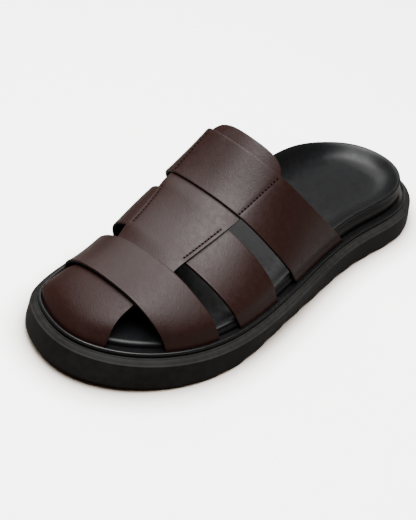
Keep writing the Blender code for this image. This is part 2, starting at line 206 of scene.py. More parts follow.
# %% [markdown]
# ## Pulling a sole up from its outline
# A layer of the sole is a ring that is drawn round the outline and then extruded again and
# again, each time moved a little in or up, as when a profile is traced with the extrude tool.
# Every point carries its number round the ring, so that each new ring knows where to go. The
# ends are filled straight across from side to side, and one level of subdivision rounds it. A
# curve with a bevel profile would be quicker, but it can't change its profile on the way.

# %% Rings
def ring(inset, rise):
    """A loop set in from the sharp edge and above it, in mm; single sizes or one for each point."""
    step = np.broadcast_to(np.asarray(inset, float) * MM, (RING_COUNT,))
    path = OUTLINE - OUTWARD * step[:, None]
    height = edge_height(path[:, 1]) + np.asarray(rise) * MM
    return np.column_stack([path, height])


def fill_across(piece, loop):
    """Close a loop with faces that run straight across the sole."""
    count = len(loop)
    mesh = bmesh.from_edit_mesh(piece.data)
    mesh.verts.ensure_lookup_table()
    points = [mesh.verts[i] for i in loop]
    middle = count // 2
    mesh.faces.new((points[0], points[1], points[-1]))
    for i in range(1, middle - 1):
        mesh.faces.new((points[i], points[i + 1], points[count - i - 1], points[count - i]))
    mesh.faces.new((points[middle - 1], points[middle], points[middle + 1]))
    bmesh.update_edit_mesh(piece.data)


def pull_up_rings(name, rings):
    """Closed body through rings of equal count: a circle, extruded once for each ring."""
    clear_selection()
    bpy.ops.mesh.primitive_circle_add(vertices=RING_COUNT, radius=SOLE_LENGTH / 2)
    piece = bpy.context.object
    piece.name = piece.data.name = name
    place = piece.data.attributes.new("place", "INT", "POINT")
    place.data.foreach_set("value", np.arange(RING_COUNT))
    piece.data.vertices.foreach_set("co", rings[0].ravel())
    bpy.ops.object.mode_set(mode="EDIT")
    bpy.ops.mesh.select_all(action="SELECT")
    for points in rings[1:]:
        bpy.ops.mesh.extrude_edges_move()
        mesh = bmesh.from_edit_mesh(piece.data)
        number = mesh.verts.layers.int["place"]
        chosen = [vert for vert in mesh.verts if vert.select]
        for vert in chosen:
            vert.co = points[vert[number]]
        bmesh.update_edit_mesh(piece.data)
    last = [vert.index for vert in sorted(chosen, key=lambda vert: vert[number])]
    fill_across(piece, list(range(RING_COUNT)))
    fill_across(piece, last)
    bpy.ops.object.mode_set(mode="OBJECT")
    smooth = piece.modifiers.new("smooth", "SUBSURF")
    smooth.levels = smooth.render_levels = 1
    apply_modifiers(piece)
    finish_piece(piece)
    return piece


# %% [markdown]
# ## Outsole
# The real outsole is one thick piece of moulded rubber. Its side stands almost upright and
# flares at toe and heel. The lower edge runs in saw-toothed waves: behind each lug it steps up
# and then falls slowly to the next. On top, a flat lip 1 mm wide is followed by a slope, a small
# step and a groove. A boolean would leave hard cuts, so the waves are part of the rings here.

# %% Sizes of the outsole
END_FLARE = 2.2 * MM
FLARE_POWER = 1.5
WAIST_TUCK = 1.9 * MM
TUCK_STATION = -26 * MM
TUCK_REACH = 52 * MM
GROOVE_FIRST = -104.4 * MM
GROOVE_PITCH = 19.6 * MM
GROOVE_COUNT = 12
GROOVE_LENGTH = 16.0 * MM
GROOVE_STEP = 5.5 * MM
GROOVE_DEPTH = 2.0 * MM
GROOVE_GROW = (58 * MM, 125 * MM)
# share of the flare, inset from the sharp edge (mm), share of the height
SIDE_PROFILE = (
    (1.0, 3.0, 0.00),
    (1.0, 0.9, 0.00),
    (1.0, 0.1, 0.03),
    (1.0, 0.0, 0.09),
    (0.9, 0.0, 0.28),
    (0.6, 0.0, 0.52),
    (0.3, 0.0, 0.74),
    (0.1, 0.0, 0.90),
    (0.0, 0.0, 0.97),
    (0.0, 0.0, 0.985),
)
# inset, height above the sharp edge (mm): lip, slope, step and groove
RIM_PROFILE = (
    (0.05, 0.02),
    (0.22, 0.14),
    (0.7, 0.28),
    (1.0, 0.36),
    (1.2, 0.60),
    (2.0, 1.22),
    (2.8, 1.74),
    (3.1, 1.72),
    (3.35, 1.98),
    (3.7, 2.44),
    (4.0, 2.52),
    (4.2, 2.30),
    (4.4, 1.4),
)
print(GROOVE_COUNT, "waves,", round(GROOVE_PITCH / MM, 1), "mm from one to the next")


# %% Flare and waves
def side_flare(path):
    """How far the side spreads towards the floor; less than 0 at the waist's outer side."""
    x, y = path[:, 0], path[:, 1]
    flare = END_FLARE * np.clip(np.abs(y) / (SOLE_LENGTH / 2), 0.0, 1.0) ** FLARE_POWER
    near_waist = np.clip(1.0 - np.abs(y - TUCK_STATION) / TUCK_REACH, 0.0, 1.0)
    return flare - WAIST_TUCK * smooth_step(near_waist, 0.0, 1.0) * (x > 0)


def wave_height(y):
    """Height of the lugs' lower edge above the sole's flat underside."""
    along = np.mod(y - GROOVE_FIRST, GROOVE_PITCH)
    number = np.floor((y - GROOVE_FIRST) / GROOVE_PITCH)
    fall = 1.0 - np.clip((along - GROOVE_STEP) / (GROOVE_LENGTH - GROOVE_STEP), 0.0, 1.0)
    grow = 1.0 - smooth_step(-y, *GROOVE_GROW)
    inside = (number >= 0) & (number < GROOVE_COUNT)
    return GROOVE_DEPTH * grow * fall * smooth_step(along, 0.0, GROOVE_STEP) * inside


# %% Outsole
outsole_rings = []
for flare_share, inset, height_share in SIDE_PROFILE:
    flare = side_flare(OUTLINE) * flare_share
    path = OUTLINE + OUTWARD * (flare - inset * MM)[:, None]
    base = spring(path[:, 1]) + wave_height(path[:, 1])
    top = edge_height(path[:, 1])
    outsole_rings.append(np.column_stack([path, base + (top - base) * height_share]))
outsole_rings += [ring(inset, rise) for inset, rise in RIM_PROFILE]
outsole = pull_up_rings("outsole_rubber_body", outsole_rings)

# %% [markdown]
# ## Midsole
# Between outsole and footbed lies a thin plate, of which only a rounded black bead shows. The
# straps go down behind it. A curve with a round bevel would give the bead alone; the rings give
# the plate with it and keep to the outline.

# %% Midsole
# inset, height above the sharp edge (mm)
MIDSOLE_PROFILE = (
    (5.2, 1.9),
    (4.85, 2.1),
    (4.65, 2.9),
    (4.6, 3.9),
    (4.85, 4.7),
    (5.4, 5.0),
    (6.0, 4.8),
    (6.35, 4.2),
    (6.5, 2.9),
)
midsole = pull_up_rings("midsole_bead", [ring(inset, rise) for inset, rise in MIDSOLE_PROFILE])

# %% [markdown]
# ## Footbed
# The footbed is a foam cup with a smooth black cover. Seen from the side it tucks in at the
# bead, swells and ends in a rolled rim with a narrow valley under it; at the toes the side is
# plain. The rim climbs from the toes to the heel and along the inner arch. Inside, it slopes
# down to a flat that is a little higher at the waist. It could be sculpted from a block, but
# the same extruded rings give all of it, with more of them at the roll.

# %% Sizes of the footbed
FOOTBED_BASE = 3.2
CREST_INSET = 11.1
CREST_FORE_INSET = 0.8
CREST_FORE_SPAN = (65 * MM, 90 * MM)
CREST_FORE = 10.8
CREST_HEEL = 15.6
CREST_RISE_SPAN = (-45 * MM, 62 * MM)
ARCH_LIFT = 7.5
TOE_DROP = 4.1
DROP_SPAN = (45 * MM, 105 * MM)
FLOOR_DROP = 0.5
ARCH_STATION = 56 * MM
ARCH_REACH = 72 * MM
ARCH_SIDE = (-5 * MM, 25 * MM)
PLAIN_SPAN = (85 * MM, 106 * MM)
# step outward from the crest, the same at the toes where the side is plain (mm), share of the
# height from base to crest
FOOTBED_SIDE = (
    (0.4, 0.4, 0.00),
    (1.2, 1.0, 0.03),
    (1.6, 1.1, 0.14),
    (1.75, 1.1, 0.28),
    (1.65, 1.1, 0.42),
    (1.25, 1.05, 0.55),
    (0.55, 0.95, 0.645),
    (0.25, 0.85, 0.69),
    (0.35, 0.7, 0.75),
    (0.52, 0.35, 0.84),
    (0.35, -0.1, 0.93),
    (-0.1, -0.7, 0.985),
    (-0.8, -1.3, 1.005),
    (-1.6, -1.9, 0.985),
)
# step inward from the crest (mm), share of the depth of the dish
FOOTBED_DISH = (
    (2.8, 0.12),
    (4.5, 0.34),
    (7.0, 0.62),
    (10.0, 0.82),
    (14.0, 0.95),
    (18.0, 1.00),
)
DISH_FORE = 7.4
DISH_HEEL = 7.0
DISH_SPAN = (-40 * MM, 80 * MM)
DISH_WAIST = 2.5
WAIST_STATION = 25 * MM
WAIST_REACH = 45 * MM
print("the footbed goes up in", len(FOOTBED_SIDE) + len(FOOTBED_DISH), "rings")


# %% Height of the rolled rim
def toe_drop(y):
    """How much lower the rim lies towards the toes (mm)."""
    return TOE_DROP * smooth_step(-y, *DROP_SPAN)


def crest_rise():
    """Height of the rolled rim above the sharp edge, for each point of the outline (mm)."""
    x, y = OUTLINE[:, 0], OUTLINE[:, 1]
    climb = smooth_step(y, *CREST_RISE_SPAN)
    near_arch = np.clip(1.0 - np.abs(y - ARCH_STATION) / ARCH_REACH, 0.0, 1.0)
    medial = smooth_step(-x, *ARCH_SIDE)
    arch = ARCH_LIFT * medial * np.sin(near_arch * np.pi / 2) ** 2
    return CREST_FORE + (CREST_HEEL - CREST_FORE) * climb + arch - toe_drop(y)


crest = crest_rise()
print("the rim lies", round(crest.min(), 1), "to", round(crest.max(), 1), "mm above the edge")

# %% Footbed
station_y = OUTLINE[:, 1]
dish = DISH_FORE + (DISH_HEEL - DISH_FORE) * smooth_step(station_y, *DISH_SPAN)
dish = dish + DISH_WAIST * np.exp(-(((station_y - WAIST_STATION) / WAIST_REACH) ** 2))
dish = dish - FLOOR_DROP * toe_drop(station_y)
crest_inset = CREST_INSET + CREST_FORE_INSET * smooth_step(-station_y, *CREST_FORE_SPAN)
footbed_rings = []
plain = smooth_step(-station_y, *PLAIN_SPAN)
for outward, plain_outward, share in FOOTBED_SIDE:
    rise = FOOTBED_BASE + (crest - FOOTBED_BASE) * share
    step = outward + (plain_outward - outward) * plain
    footbed_rings.append(ring(crest_inset - step, rise))
for inward, share in FOOTBED_DISH:
    footbed_rings.append(ring(crest_inset + inward, crest - (crest - dish) * share))
footbed = pull_up_rings("footbed_cup", footbed_rings)

# %% [markdown]
# ## The last
# A last is the foot-shaped form that a shoe is built on. Here it is a row of leaning sections:
# each starts at the sole's edge on the inner side, rises over a ridge that lies towards the big
# toe, and comes down on the outer side. Leather is laid on it by two numbers: the station of a
# section, and the distance along that section from its middle. A sculpted last would look the
# same, but nothing could be measured along it.

# %% Sizes of the last
FOOT_INSET = 7.05
FOOT_RISE = 3.2
NOSE_START = -100 * MM
NOSE_POWER = 2.3
SHEAR_POWER = 1.8
# the medial corner of the toe stands out over the bead: how far, where it starts, is most, ends
CAP_BULGE = 3.0 * MM
CAP_BULGE_SPAN = (-138 * MM, -129.5 * MM, -117 * MM)
# up * (1 - up) ** 2 is never more than 4 / 27, and this makes that a full 1
BULGE_TO_FULL = 27 / 4
# station of the ridge, ridge height, how far the feet lie behind, shift of the ridge, fullness
LAST_STATIONS = (
    (-118.0, 19.6, 0.2, 1.5, 2.27),
    (-95.0, 24.3, 6.1, -1.3, 2.34),
    (-65.0, 32.9, 12.3, -14.2, 2.45),
    (-35.0, 48.6, 29.0, -20.7, 2.55),
    (-5.0, 73.2, 59.7, -20.5, 2.65),
)
ridge_height = column_curve(LAST_STATIONS, 1)
section_lean = column_curve(LAST_STATIONS, 2)
ridge_shift = column_curve(LAST_STATIONS, 3)
section_fullness = column_curve(LAST_STATIONS, 4)
SECTION_POINTS = 181
SECTION_ANGLES = np.pi * (1.0 - np.linspace(0.0, 1.0, SECTION_POINTS))
FOOT_LINE_POINTS = 4000

edge_path, edge_outward = sole_outline(FOOT_LINE_POINTS)
foot_line = edge_path - edge_outward * FOOT_INSET * MM
NOSE_TIP = foot_line[:, 1].min()
nose_x = foot_line[foot_line[:, 1].argmin(), 0]
medial_foot = foot_line[foot_line[:, 0] <= nose_x]
medial_foot = medial_foot[np.argsort(medial_foot[:, 1])]
lateral_foot = foot_line[foot_line[:, 0] >= nose_x]
lateral_foot = lateral_foot[np.argsort(lateral_foot[:, 1])]
print("nose of the last at", round(1000 * NOSE_TIP, 1), "mm")


# %% Points on the last
def last_point(station, angle):
    """Point of the last on one leaning section, from its medial foot (pi) to its lateral (0)."""
    nose = np.clip((NOSE_START - station) / (NOSE_START - NOSE_TIP), 0.0, 1.0)
    height = ridge_height(station) * (1.0 - nose**NOSE_POWER) ** (1.0 / NOSE_POWER)
    across, up = np.cos(angle), np.abs(np.sin(angle))
    # the fullness has come out of the table times MM, like the sizes beside it
    power = 2.0 * MM / section_fullness(station)
    across = np.sign(across) * np.abs(across) ** power
    up = up**power
    y = station + section_lean(station) * (1.0 - nose) * (1.0 - up)
    medial = np.interp(y, medial_foot[:, 1], medial_foot[:, 0])
    lateral = np.interp(y, lateral_foot[:, 1], lateral_foot[:, 0])
    x = (medial + lateral) / 2 + (lateral - medial) / 2 * across
    x = x + ridge_shift(station) * up**SHEAR_POWER * (1.0 - nose**2)
    start, most, end = CAP_BULGE_SPAN
    bulge = smooth_step(station, start, most) * (1.0 - smooth_step(station, most, end))
    swell = CAP_BULGE * bulge * BULGE_TO_FULL * up * (1.0 - up) ** 2
    x = x - swell * np.clip(-across, 0.0, 1.0)
    z = edge_height(y) + FOOT_RISE * MM + height * up
    return np.stack([x, y, z], axis=-1)


def sections_at(stations):
    """Points along the sections and their distances from the middle, one row for each station."""
    points = last_point(np.asarray(stations)[:, None], SECTION_ANGLES[None, :])
    steps = np.linalg.norm(np.diff(points, axis=1), axis=2)
    along = np.concatenate([np.zeros((len(points), 1)), np.cumsum(steps, axis=1)], axis=1)
    return points, along - along[:, -1:] / 2


def half_lengths(stations):
    """Half the length of the section at each station."""
    return sections_at(np.ravel(stations))[1][:, -1].reshape(np.shape(stations))


def lay_on_last(stations, arcs):
    """Points of the last for grids of stations and distances along the section."""
    flat_station, flat_arc = np.ravel(stations), np.ravel(arcs)
    _, along = sections_at(flat_station)
    angles = [np.interp(a, row, SECTION_ANGLES) for a, row in zip(flat_arc, along)]
    points = last_point(flat_station, np.array(angles))
    return points.reshape(np.shape(stations) + (3,))


middle_station = LAST_STATIONS[2][0] * MM
middle_half = half_lengths([middle_station])[0]
print("the middle section is", round(2000 * middle_half, 1), "mm from foot to foot")

# %% [markdown]
# ## The pattern
# Four pieces of leather are woven: a vamp that is toe cap, strip and tongue in one, and three
# straps that run from side to side. The vamp lies under the toe strap, over the middle strap
# and under the instep strap. Its edges are given as seen from above, the straps' edges at the
# two feet and on the ridge. One shell with holes cut in it would be simpler, but then no piece
# would pass over another.

# %% Pattern sizes
# front edge and back edge of each strap: station at its medial foot, ridge and lateral foot (mm)
STRAPS = {
    "toe_strap": ((-111.5, -111.9, -109.8), (-91.2, -83.4, -85.0)),
    "middle_strap": ((-77.1, -74.0, -71.3), (-54.8, -44.7, -47.0)),
    "instep_strap": ((-38.9, -37.2, -34.3), (-9.0, -11.3, -6.6)),
}
# station, x of the medial edge, x of the lateral edge in plan (mm)
VAMP_EDGES = (
    (-137.0, -38.0, 17.5),
    (-131.0, -38.2, 16.0),
    (-124.0, -38.2, 14.0),
    (-117.0, -35.9, 13.4),
    (-110.0, -31.1, 13.2),
    (-85.0, -30.2, 11.9),
    (-57.0, -34.8, 11.8),
    (-40.0, -38.0, 12.8),
    (-12.0, -37.8, 13.9),
)
LEATHER = 1.15 * MM
LINING = 0.65 * MM
WALL = LEATHER + LINING
vamp_medial_x = column_curve(VAMP_EDGES, 1)
vamp_lateral_x = column_curve(VAMP_EDGES, 2)


def vamp_width(stations):
    """Medial and lateral edge of the vamp, as distances from the middle of each section."""
    known = np.unique(np.ravel(stations))
    points, along = sections_at(known)
    sides = np.empty((len(known), 2))
    for i, station in enumerate(known):
        x = points[i, :, 0]
        low, high = x.argmin(), x.argmax() + 1
        medial, lateral = vamp_medial_x(station), vamp_lateral_x(station)
        sides[i, 0] = np.interp(medial, x[low:high], along[i, low:high], left=along[i, 0])
        sides[i, 1] = np.interp(lateral, x[low:high], along[i, low:high], right=along[i, -1])
    place = np.searchsorted(known, stations)
    return sides[place, 0], sides[place, 1]


print("a vamp and", len(STRAPS), "straps, with a wall of", round(WALL / MM, 2), "mm")

# %% [markdown]
# ## From flat leather to a strap
# A strap starts as a flat grid, the cut piece of leather. Its points are then laid on the last,
# row by row. Solidify gives it its thickness, inwards so that the outer face stays where the
# last says, and Bevel rounds the cut edges. The lining is a second, thinner layer glued under
# it, and its black edge shows below the brown one. A cloth simulation would crease leather that
# is stretched tight, so none is run.

# %% Directions of the leather
NO_LENGTH = 1e-15


def outward_normals(grid, level):
    """Outward normals of a grid of points, turned level where level is 1."""
    down, across = np.gradient(grid, axis=0), np.gradient(grid, axis=1)
    normal = np.cross(down, across)
    length = np.linalg.norm(normal, axis=2, keepdims=True)
    forward = (0.0, -1.0, 0.0)
    normal = np.where(length > NO_LENGTH, normal / np.maximum(length, NO_LENGTH), forward)
    outward = grid - np.array([0.0, 0.0, EDGE_HEIGHT])
    outward[..., 1] = np.where(grid[..., 1] < NOSE_START, outward[..., 1] - NOSE_START, 0.0)
    facing = np.sign((normal * outward).sum(axis=2, keepdims=True))
    normal = normal * np.where(facing == 0, 1.0, facing)
    normal[..., 2] *= 1.0 - level
    return normal / np.linalg.norm(normal, axis=2, keepdims=True)


# %% Sheets of leather
LEATHER_ROUNDING = 0.4 * MM
LINING_ROUNDING = 0.15 * MM
GLUE_LINE = 0.02 * MM
CLOSEST_POINTS = 0.01 * MM
CUT_ANGLE = np.radians(50)


def sheet_piece(name, grid, thickness, rounding):
    """A grid of points made into a sheet with thickness below it and rounded edges."""
    rows, columns = grid.shape[:2]
    clear_selection()
    bpy.ops.mesh.primitive_grid_add(x_subdivisions=columns - 1, y_subdivisions=rows - 1, size=1)
    piece = bpy.context.object
    piece.name = piece.data.name = name
    flat = np.empty(rows * columns * 3)
    piece.data.vertices.foreach_get("co", flat)
    flat = flat.reshape(-1, 3)
    column = np.rint((flat[:, 0] + 0.5) * (columns - 1)).astype(int)
    row = np.rint((flat[:, 1] + 0.5) * (rows - 1)).astype(int)
    piece.data.vertices.foreach_set("co", grid[row, column].ravel())
    bpy.ops.object.mode_set(mode="EDIT")
    bpy.ops.mesh.select_all(action="SELECT")
    bpy.ops.mesh.remove_doubles(threshold=CLOSEST_POINTS)
    bpy.ops.object.mode_set(mode="OBJECT")
    middle = piece.data.polygons[len(piece.data.polygons) // 2]
    if middle.normal.z < 0:
        piece.data.flip_normals()
    wall = piece.modifiers.new("thickness", "SOLIDIFY")
    wall.thickness = thickness
    wall.offset = -1.0
    wall.use_even_offset = True
    edge = piece.modifiers.new("cut_edge", "BEVEL")
    edge.width = rounding
    edge.segments = 3
    edge.limit_method = "ANGLE"
    edge.angle_limit = CUT_ANGLE
    apply_modifiers(piece)
    finish_piece(piece, smooth_angle=60)
    return piece


def leather_and_lining(name, grid, level):
    """The brown outer layer and the black lining under it."""
    under = grid - outward_normals(grid, level) * (LEATHER + GLUE_LINE)
    leather = sheet_piece(name, grid, LEATHER, LEATHER_ROUNDING)
    lining = sheet_piece(name + "_lining", under, LINING, LINING_ROUNDING)
    return leather, lining


# %% [markdown]
# ## Turn-out and stitch rows
# Where a strap meets the sole it turns out a little, so a soft hollow runs above its foot and
# the foot itself catches the light. The strip is sewn to the middle strap and the instep strap
# is sewn to the strip, each with two short rows that run 2.2 mm inside the strip's edges. The
# thread pulls the leather down, so a shallow trough follows each row. A sculpting brush could
# press both in; here the grid is moved along its normals before it gets its thickness, so the
# wall keeps its measure.

# %% Turn-out and stitch rows
HOLLOW_DEPTH = 0.8 * MM
HOLLOW_HEIGHT = 6.2 * MM
HOLLOW_REACH = 4.0 * MM
STITCH_INSET = 2.2 * MM
STITCH_PITCH = 2.3 * MM
TROUGH_DEPTH = 0.2 * MM
TROUGH_WIDTH = 0.9 * MM
TROUGH_RUN_OUT = 2 * MM
# first and last station of the rows (mm)
STITCH_ROWS = {"middle": (-72.5, -47.5), "instep": (-35.8, -13.0)}


def foot_hollow(grid):
    """How far the leather is drawn in above its foot, for a grid of points on the last."""
    above_foot = grid[..., 2] - edge_height(grid[..., 1]) - FOOT_RISE * MM
    return HOLLOW_DEPTH * np.exp(-(((above_foot - HOLLOW_HEIGHT) / HOLLOW_REACH) ** 2))


def trough(stations, arcs, rows):
    """How far the leather is pulled down by the two rows of stitches."""
    medial, lateral = vamp_width(stations)
    start, end = (value * MM for value in STITCH_ROWS[rows])
    begun = smooth_step(stations, start - TROUGH_RUN_OUT, start)
    ended = smooth_step(stations, end, end + TROUGH_RUN_OUT)
    near = np.minimum(np.abs(arcs - medial - STITCH_INSET), np.abs(arcs - lateral + STITCH_INSET))
    return TROUGH_DEPTH * (begun * (1.0 - ended)) * np.exp(-((near / TROUGH_WIDTH) ** 2))


for row_name, (row_start, row_end) in STITCH_ROWS.items():
    print(row_name, "rows cover", row_end - row_start, "mm of the shoe's length")


# %% [markdown]
# ## Vamp
# One piece of leather is toe cap, strip and tongue. Its rows are closer together at the nose,
# where the last curves most, and the rearmost rows bend round so that the tongue gets its
# round end. Cutting the end round with a boolean would leave long thin faces at the cut.

# %% Rows and columns of the vamp
NOSE_ROWS = 44
TAB_ROWS = 24
VAMP_COLUMNS = 64
ROW_STEP = 0.9 * MM
TAB_END = -5.4 * MM
TAB_LENGTH = 11 * MM
TAB_CORNER = 20 * MM
TAB_POWER = 2.6
# the strip rises to pass over the middle strap, and comes down again, between these stations
RISE_TO_OVER = (-87 * MM, -74 * MM)
FALL_FROM_OVER = (-46 * MM, -33 * MM)
# the leather's normals are turned level this close to its edge at the nose
VAMP_LEVEL_REACH = 1.5 * MM
# this share of the columns' spacing is even, and the rest draws them towards both edges
EVEN_SHARE = 0.3
even = np.linspace(0.0, 1.0, VAMP_COLUMNS)
shares = EVEN_SHARE * even + (1.0 - EVEN_SHARE) * (1.0 - np.cos(np.pi * even)) / 2

# how far each column reaches: all the way at the middle, less towards the two round corners
tab_width = vamp_lateral_x(TAB_END) - vamp_medial_x(TAB_END)
from_side = np.minimum(shares, 1.0 - shares) * tab_width
in_corner = np.clip(1.0 - from_side / TAB_CORNER, 0.0, 1.0)
column_end = TAB_END - TAB_LENGTH * (1.0 - (1.0 - in_corner**TAB_POWER) ** (1.0 / TAB_POWER))
tab_start = TAB_END - 2 * TAB_LENGTH
nose_angles = np.linspace(0, np.pi / 2, NOSE_ROWS)
nose_rows = NOSE_TIP + (NOSE_START - NOSE_TIP) * (1.0 - np.cos(nose_angles))
strip_rows = np.linspace(NOSE_START, tab_start, int((tab_start - NOSE_START) / ROW_STEP))[1:]
straight_rows = np.repeat(np.r_[nose_rows, strip_rows][:, None], VAMP_COLUMNS, axis=1)
bending_rows = tab_start + np.linspace(0, 1, TAB_ROWS)[1:, None] * (column_end - tab_start)
vamp_stations = np.vstack([straight_rows, bending_rows])
vamp_medial, vamp_lateral = vamp_width(vamp_stations)
vamp_arcs = vamp_medial + (vamp_lateral - vamp_medial) * shares
print("the vamp is a grid of", vamp_stations.shape[0], "rows and", VAMP_COLUMNS, "columns")

# %% Vamp
vamp_grid = lay_on_last(vamp_stations, vamp_arcs)
from_foot = half_lengths(vamp_stations) - np.abs(vamp_arcs)
vamp_level = np.exp(-from_foot / VAMP_LEVEL_REACH) * (vamp_stations < NOSE_START)

over = smooth_step(vamp_stations, *RISE_TO_OVER)
over = over * (1.0 - smooth_step(vamp_stations, *FALL_FROM_OVER))
vamp_lift = over * WALL - trough(vamp_stations, vamp_arcs, "middle") - foot_hollow(vamp_grid)
vamp_grid = vamp_grid + outward_normals(vamp_grid, vamp_level) * vamp_lift[..., None]
vamp, vamp_lining = leather_and_lining("vamp", vamp_grid, vamp_level)

# %% [markdown]
# ## Straps
# Each strap runs from foot to foot. Where it crosses over the vamp it is lifted by the vamp's
# thickness and comes down softly beside it. Its front edge stands off a little there, which
# gives the dark line under the toe strap. A Shrinkwrap modifier could lay it on the vamp, but
# then the edge would not stand off, so the lift is worked out instead.

# %% Straps
STRAP_STEP = 0.95 * MM
# a strap comes down between these distances beyond the vamp's edge
FALL = (-5 * MM, 26 * MM)
# its normals are turned level this close to its feet
STRAP_LEVEL_REACH = 1.0 * MM
# how far the front edge stands off over the vamp (mm), and over what length it settles (mm)
STAND_OFF = {"toe_strap": (1.5, 7.0), "middle_strap": (0.0, 5.0), "instep_strap": (0.35, 6.0)}


def strap_grid(name):
    """Points of one strap as it lies on the last, and how level its normals are turned."""
    front, back = [np.polyfit((-1, 0, 1), np.array(edge) * MM, 2) for edge in STRAPS[name]]
    half = half_lengths([np.polyval(front, 0.0)])[0]
    shares = np.linspace(-1.0, 1.0, int(2 * half / STRAP_STEP))
    wide = np.polyval(back, 0.0) - np.polyval(front, 0.0)
    columns = np.linspace(0.0, 1.0, int(wide / STRAP_STEP))
    stations = np.polyval(front, shares)[:, None] * (1.0 - columns)
    stations = stations + np.polyval(back, shares)[:, None] * columns
    halves = half_lengths(stations)
    arcs = shares[:, None] * halves
    grid = lay_on_last(stations, arcs)
    medial, lateral = vamp_width(stations)
    beyond = np.maximum(medial - arcs, arcs - lateral)
    crossing = 1.0 - smooth_step(beyond, *FALL)
    rise, settle = (value * MM for value in STAND_OFF[name])
    lift = np.zeros(stations.shape)
    if name != "middle_strap":
        lift = crossing * (WALL + rise * np.exp(-columns * wide / settle))
    if name == "instep_strap":
        lift = lift - trough(stations, arcs, "instep")
    lift = lift - foot_hollow(grid)
    level = np.exp(-(halves - np.abs(arcs)) / STRAP_LEVEL_REACH)
    return grid + outward_normals(grid, level) * lift[..., None], level


straps = [leather_and_lining(strap_name, *strap_grid(strap_name)) for strap_name in STRAPS]

# %% [markdown]
# ## Thread
# A stitch on the surface is a short, plump piece of thread that dips into a needle hole at both
# ends. One is modelled from a small sphere, pulled long, and then copied to each place along
# the rows. An Array modifier on a curve could do that, but here each copy has to be turned to
# the leather under it. The needle holes are flat dark balls, half sunk in the leather: painted
# shade that stands for the shade inside each hole.

# %% Places of the stitches
ROW_SAMPLES = 200
BESIDE_ROW = 0.5 * MM


def stitch_places(rows):
    """Middle, direction and outward normal of every stitch of the two rows."""
    start, end = (value * MM for value in STITCH_ROWS[rows])
    rise, settle = (value * MM for value in STAND_OFF[rows + "_strap"])
    found = []
    for side in (0, 1):
        stations = np.linspace(start, end, ROW_SAMPLES)
        edges = vamp_width(stations)[side]
        arcs = edges + (STITCH_INSET if side == 0 else -STITCH_INSET)
        points = lay_on_last(stations, arcs)
        beside = lay_on_last(stations, arcs + BESIDE_ROW)
        along = np.r_[0.0, np.cumsum(np.linalg.norm(np.diff(points, axis=0), axis=1))]
        count = int(along[-1] / STITCH_PITCH)
        for mark in (np.arange(count) + 0.5) * along[-1] / count:
            i = min(np.searchsorted(along, mark), len(points) - 2)
            direction = points[i + 1] - points[i - 1]
            normal = np.cross(beside[i] - points[i], direction)
            normal = normal * np.sign(normal[2]) / np.linalg.norm(normal)
            centre = points[i] + normal * rise * np.exp(-mark / settle)
            found.append((centre, direction / np.linalg.norm(direction), normal))
    return found


places = {rows: stitch_places(rows) for rows in STITCH_ROWS}
print({rows: len(found) for rows, found in places.items()}, "stitches")


# %% Helpers for small copies
def squeezed_ball(ring_count, size):
    """A small ball, scaled to a length, a width and a height."""
    clear_selection()
    bpy.ops.mesh.primitive_uv_sphere_add(
        segments=10, ring_count=ring_count, radius=0.5, location=(0, 0, 0))
    ball = bpy.context.object
    bpy.ops.object.mode_set(mode="EDIT")
    bpy.ops.transform.resize(value=size)
    bpy.ops.object.mode_set(mode="OBJECT")
    return ball


def place_copies(name, sample, places, lift, spacing=(0.0,)):
    """One mesh of copies of the sample, lifted off each place and spaced along the row."""
    points = np.array([vert.co[:] for vert in sample.data.vertices])
    faces = [tuple(face.vertices) for face in sample.data.polygons]
    verts, polygons = [], []
    for centre, direction, normal in places:
        across = np.cross(normal, direction)
        for shift in spacing:
            middle = centre + normal * lift + direction * shift
            base = len(verts)
            turned = points @ np.array([direction, across, normal]) + middle
            verts += [tuple(point) for point in turned]
            polygons += [tuple(base + i for i in face) for face in faces]
    data = bpy.data.meshes.new(name)
    data.from_pydata(verts, [], polygons)
    piece = bpy.data.objects.new(name, data)
    bpy.context.scene.collection.objects.link(piece)
    finish_piece(piece, smooth_angle=80)
    return piece


# %% Stitches and the painted shade of the needle holes
STITCH_LENGTH = 1.8 * MM
STITCH_WIDTH = 0.9 * MM
STITCH_HEIGHT = 0.72 * MM
STITCH_LIFT = 0.08 * MM
HOLE_LENGTH = 1.54 * MM
HOLE_WIDTH = 1.4 * MM
HOLE_HEIGHT = 0.25 * MM

stitch_sample = squeezed_ball(8, (STITCH_LENGTH, STITCH_WIDTH, STITCH_HEIGHT))
# painted shade: the flat dark ball at each needle hole stands for the shade inside the hole
hole_sample = squeezed_ball(6, (HOLE_LENGTH, HOLE_WIDTH, HOLE_HEIGHT))
both_ends = (-STITCH_PITCH / 2, STITCH_PITCH / 2)
surface = WALL - TROUGH_DEPTH
thread_pieces, hole_shade_pieces = [], []
for rows, found in places.items():
    thread_pieces.append(
        place_copies(rows + "_stitches", stitch_sample, found, surface + STITCH_LIFT))
    hole_shade_pieces.append(
        place_copies(rows + "_painted_hole_shades", hole_sample, found, surface, both_ends))
bpy.data.objects.remove(stitch_sample, do_unlink=True)
bpy.data.objects.remove(hole_sample, do_unlink=True)

# %% [markdown]
# ## A shared grain
# Leather, lining, cover and rubber all have a fine skin. Each could have its own nodes, but one
# shader group does for all. It puts out a height of cells and pores, a fine mottle and a slow
# cloud. The height goes to a Bump node, mottle and cloud shift the colour, and the mottle
# shifts the gloss. Each material places the group with its own scale.

# %% Node helpers
def new_group(name, inputs, outputs):
    """An empty shader group with its sockets, and its two end nodes."""
    group = bpy.data.node_groups.new(name, "ShaderNodeTree")
    for socket, kind, value in inputs:
        made = group.interface.new_socket(socket, in_out="INPUT", socket_type=kind)
        if value is not None:
            made.default_value = value
    for socket, kind in outputs:
        group.interface.new_socket(socket, in_out="OUTPUT", socket_type=kind)
    start = group.nodes.new("NodeGroupInput")
    end = group.nodes.new("NodeGroupOutput")
    return group, start, end


